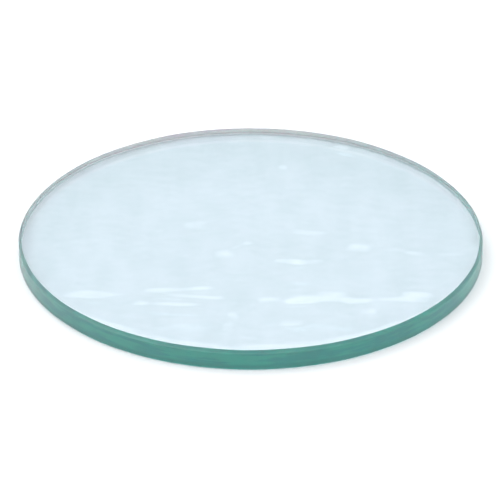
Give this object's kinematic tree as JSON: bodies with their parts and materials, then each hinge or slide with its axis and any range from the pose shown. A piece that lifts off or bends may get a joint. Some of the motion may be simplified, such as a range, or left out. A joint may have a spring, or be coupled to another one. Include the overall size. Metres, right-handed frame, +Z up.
{
  "type": "flat watch glass",
  "caption": "Flat round disc of clear float glass with a ground, seamed edge, used to cover a beaker or dish or to hold a small sample.",
  "frame": {"origin": "centre of the underside, on the surface that the disc lies on", "axes": "+Z up along the disc's own axis, square to both faces; X and Y are any two directions across the round disc"},
  "size_m": [0.1, 0.1, 0.0048],
  "materials": {
    "float_glass": "polished on both faces, ground matt round the edge and both seams, sea green seen edge on"
  },
  "bodies": {
    "root": {"glass_disc": "float_glass"}
  },
  "joints": []
}
